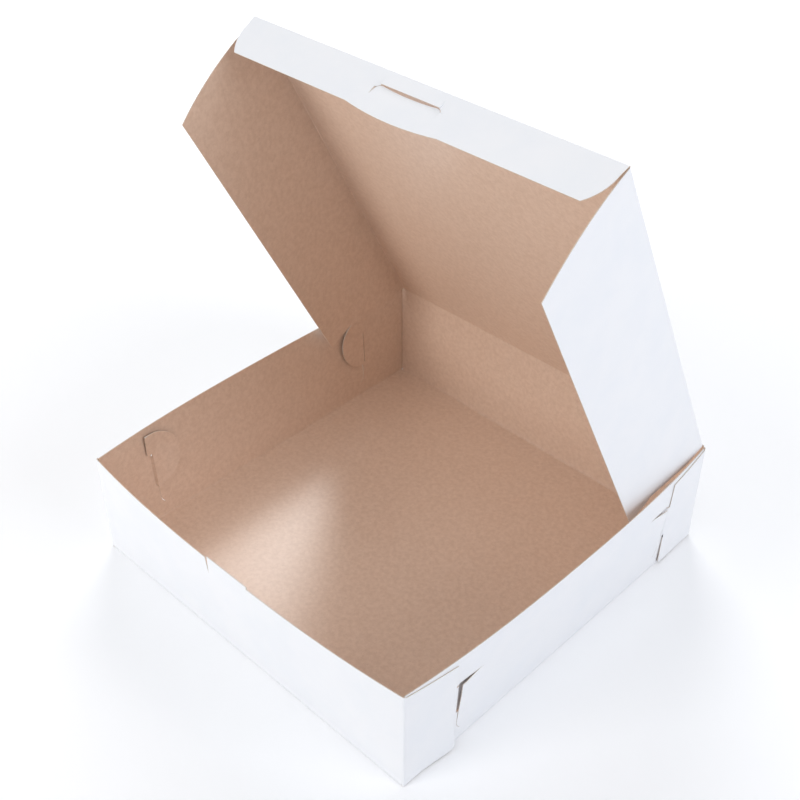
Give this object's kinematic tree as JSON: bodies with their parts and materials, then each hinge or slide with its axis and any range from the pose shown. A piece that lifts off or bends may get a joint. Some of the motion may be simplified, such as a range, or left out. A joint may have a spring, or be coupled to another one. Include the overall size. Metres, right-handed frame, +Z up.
{
  "type": "bakery box",
  "caption": "Square folded paperboard bakery box with hooked corner locks, bowed walls and a hinged lid with tuck and side flaps, standing open.",
  "frame": {"origin": "on the table under the middle of the tray floor", "axes": "+Z up, -Y towards the front wall, the lid hinge runs along X at the back"},
  "size_m": [0.2408, 0.2421, 0.2739],
  "materials": {
    "coated_board": "clay-coated white outside, plain kraft inside"
  },
  "bodies": {
    "tray": {"tray": "coated_board"},
    "lid": {"lid": "coated_board"},
    "front_flap": {"lid_front_flap": "coated_board"},
    "left_flap": {"lid_left_flap": "coated_board"},
    "right_flap": {"lid_right_flap": "coated_board"}
  },
  "joints": [
    {"name": "lid_hinge", "type": "hinge", "parent": "tray", "child": "lid", "pos_m": [0, 0.11778, 0.0656], "axis": [-1, 0, 0], "range_deg": [-63, 117]},
    {"name": "front_flap_fold", "type": "hinge", "parent": "lid", "child": "front_flap", "pos_m": [0, 0.01178, 0.27362], "axis": [-1, 0, 0], "range_deg": [0, 90]},
    {"name": "left_flap_fold", "type": "hinge", "parent": "lid", "child": "left_flap", "pos_m": [-0.11285, 0.07193, 0.15447], "axis": [0, -0.454, 0.891], "range_deg": [0, 80]},
    {"name": "right_flap_fold", "type": "hinge", "parent": "lid", "child": "right_flap", "pos_m": [0.11285, 0.07193, 0.15447], "axis": [0, 0.454, -0.891], "range_deg": [0, 80]}
  ]
}
